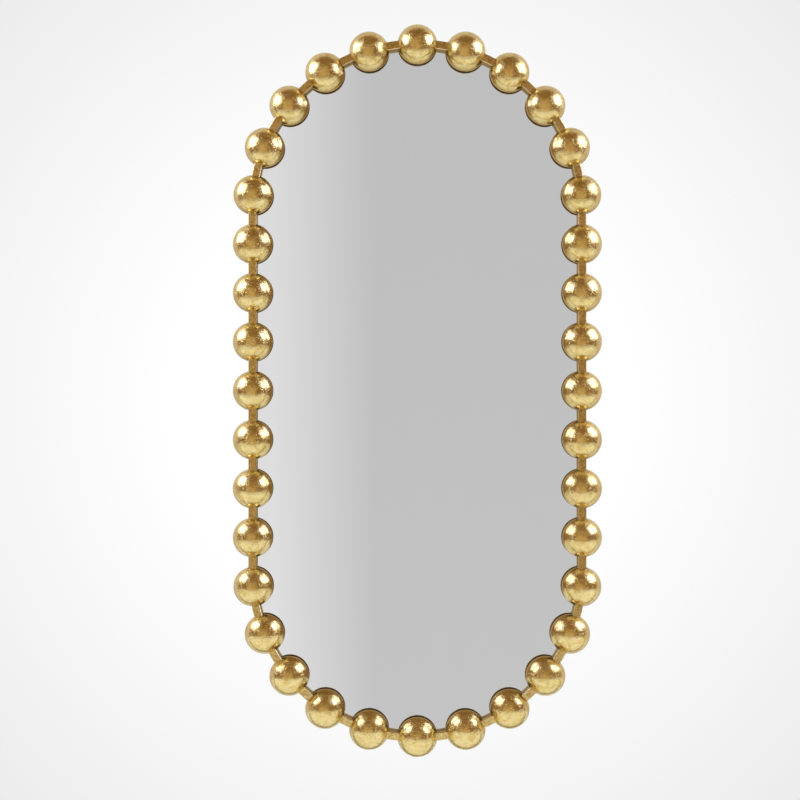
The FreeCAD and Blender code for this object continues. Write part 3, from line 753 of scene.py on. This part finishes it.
def layFloor(setup):
    wide = setup["halfWidth"]
    floor = flatPiece("studioFloor", (-wide, wide), (setup["front"], setup["back"]), setup["level"])
    material, tree, shader, where = newFinish("floorPaper")
    cloud = noise(tree, where, setup["cloudSize"], detail=3)
    paper = mixColour(tree, cloud, setup["colour"], toned(setup["colour"], setup["cloud"]))
    depth = axes(tree, where)["Y"]
    # for glossy rays only: painted light near the mirror, painted shade towards the front, a painted
    # shadow strip behind it
    shown = mixColour(tree, span(tree, depth, *setup["farStart"]), setup["near"], setup["far"])
    start, end = span(tree, depth, *setup["shadeStart"]), span(tree, depth, *setup["shadeEnd"])
    shown = mixColour(tree, calc(tree, "MULTIPLY", start, end), shown, setup["shade"])
    mirrored = addNode(tree, "ShaderNodeLightPath").outputs["Is Glossy Ray"]
    setShader(tree, shader, {
        "Base Color": mixColour(tree, mirrored, paper, shown),
        "Roughness": setup["rough"],
        "Specular IOR Level": setup["specular"],
    })
    floor.data.materials.append(material)


layFloor(floorPaper)
print("floor laid")


# The room round the mirror: white behind and above, a darker warm room in front

studio = {
    "fill": 0.73,                    # soft light from all round
    "white": (0.70, 0.605, 0.54),    # what polished metal shows of the white walls
    "under": (0.30, 0.22, 0.14),     # and low down behind the mirror, a painted shade
    "underLevel": (-0.42, -0.82),
    "rearLow": (0.40, 0.395, 0.39),  # straight behind, where only the back of the mirror shows it
    "rearHigh": (0.84, 0.84, 0.83),
    "rearLevel": (-0.45, 0.35),
    "rearStart": (0.74, 0.96),
    "room": (0.250, 0.130, 0.034),
    "roomEdge": (0.22, 0.02),        # behind the mirror's plane, from white walls to room
    "column": (0.59, 0.42, 0.215),   # a paler strip ahead, a little to the left
    "columnMiddle": -0.12,
    "columnHalf": (0.56, 0.36),
    "columnTop": (0.80, 0.00),
    "screen": 0.618,                 # the grey screens that the glass shows
    "screenLit": 0.84,               # on the left
    "screenFade": (-0.235, -0.07),   # across the glass, where the lit side runs into plain grey
    "screenRise": (1.03, 0.965),     # a little darker towards the top of the glass
    "ceiling": 1.25,                 # and paler again far above
    "ceilingStart": (0.2, 1.2),
    "vignette": (0.09, 0.22, 0.84),  # off the backdrop's middle: white ends, full grey starts, how grey
}
nearZero = 0.001    # the least divisor where a direction becomes a tangent
firstBounce = 1.5   # more glossy bounces than this come by way of a bead


def paintRoom(tree, way, setup):
    # for the leaf: a warm room in front, with a paler strip, and white walls behind
    x, y, z = way
    inRoom = span(tree, y, *setup["roomEdge"])
    sideways = calc(tree, "ABSOLUTE", calc(tree, "SUBTRACT", x, setup["columnMiddle"]))
    wide, tall = span(tree, sideways, *setup["columnHalf"]), span(tree, z, *setup["columnTop"])
    inColumn = calc(tree, "MULTIPLY", calc(tree, "MULTIPLY", wide, tall), inRoom)
    # the white walls darken low down into painted shade
    walls = mixColour(tree, span(tree, z, *setup["underLevel"]), setup["white"], setup["under"])
    rear = mixColour(tree, span(tree, z, *setup["rearLevel"]), setup["rearLow"], setup["rearHigh"])
    walls = mixColour(tree, span(tree, y, *setup["rearStart"]), walls, rear)
    room = mixColour(tree, inRoom, walls, setup["room"])
    return mixColour(tree, inColumn, room, setup["column"])


def paintScreens(tree, way, setup):
    # for the sharp glass: grey screens far in front, set out as they fall across it in the picture
    x, y, z = way
    low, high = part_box("mirror_glass")
    eye = Vector(photoView["from"])
    reach = low.y - eye.y
    front = calc(tree, "MAXIMUM", calc(tree, "MULTIPLY", y, -1), nearZero)
    across, up = calc(tree, "DIVIDE", x, front), calc(tree, "DIVIDE", z, front)
    lit, plain = [(edge - eye.x) / reach for edge in setup["screenFade"]]
    bottom, top = [(corner.z - eye.z) / reach for corner in (low, high)]
    tone = span(tree, across, lit, plain, setup["screenLit"], setup["screen"], smooth=False)
    rise = span(tree, up, bottom, top, *setup["screenRise"], smooth=False)
    ceiling = span(tree, up, *setup["ceilingStart"], 1, setup["ceiling"])
    return calc(tree, "MULTIPLY", calc(tree, "MULTIPLY", tone, rise), ceiling)


def paintBackdrop(tree, way, setup):
    # for the picture itself: white, which runs into grey towards the corners
    x, y, z = way
    start, end, grey = setup["vignette"]
    off = calc(tree, "DIVIDE", flatLength(tree, x, z), calc(tree, "MAXIMUM", y, nearZero))
    return span(tree, off, start, end, 1, grey, smooth=False)


def paintStudio(setup):
    world = bpy.data.worlds.new("studio")
    world.use_nodes = True
    scene.world = world
    tree = world.node_tree
    way = axes(tree, addNode(tree, "ShaderNodeTexCoord").outputs["Generated"])
    path = addNode(tree, "ShaderNodeLightPath").outputs
    mirrored = calc(tree, "MAXIMUM", path["Is Glossy Ray"], path["Is Transmission Ray"])
    direct = calc(tree, "LESS_THAN", path["Glossy Depth"], firstBounce)
    sharp = calc(tree, "MULTIPLY", path["Is Singular Ray"], direct)
    seen = mixColour(tree, sharp, paintRoom(tree, way, setup), paintScreens(tree, way, setup))
    colour = mixColour(tree, mirrored, (setup["fill"],) * 3, seen)
    colour = mixColour(tree, path["Is Camera Ray"], colour, paintBackdrop(tree, way, setup))
    feed(tree, tree.nodes["Background"].inputs["Color"], colour)


paintStudio(studio)
print("studio lit")

scene.view_settings.view_transform = "Standard"
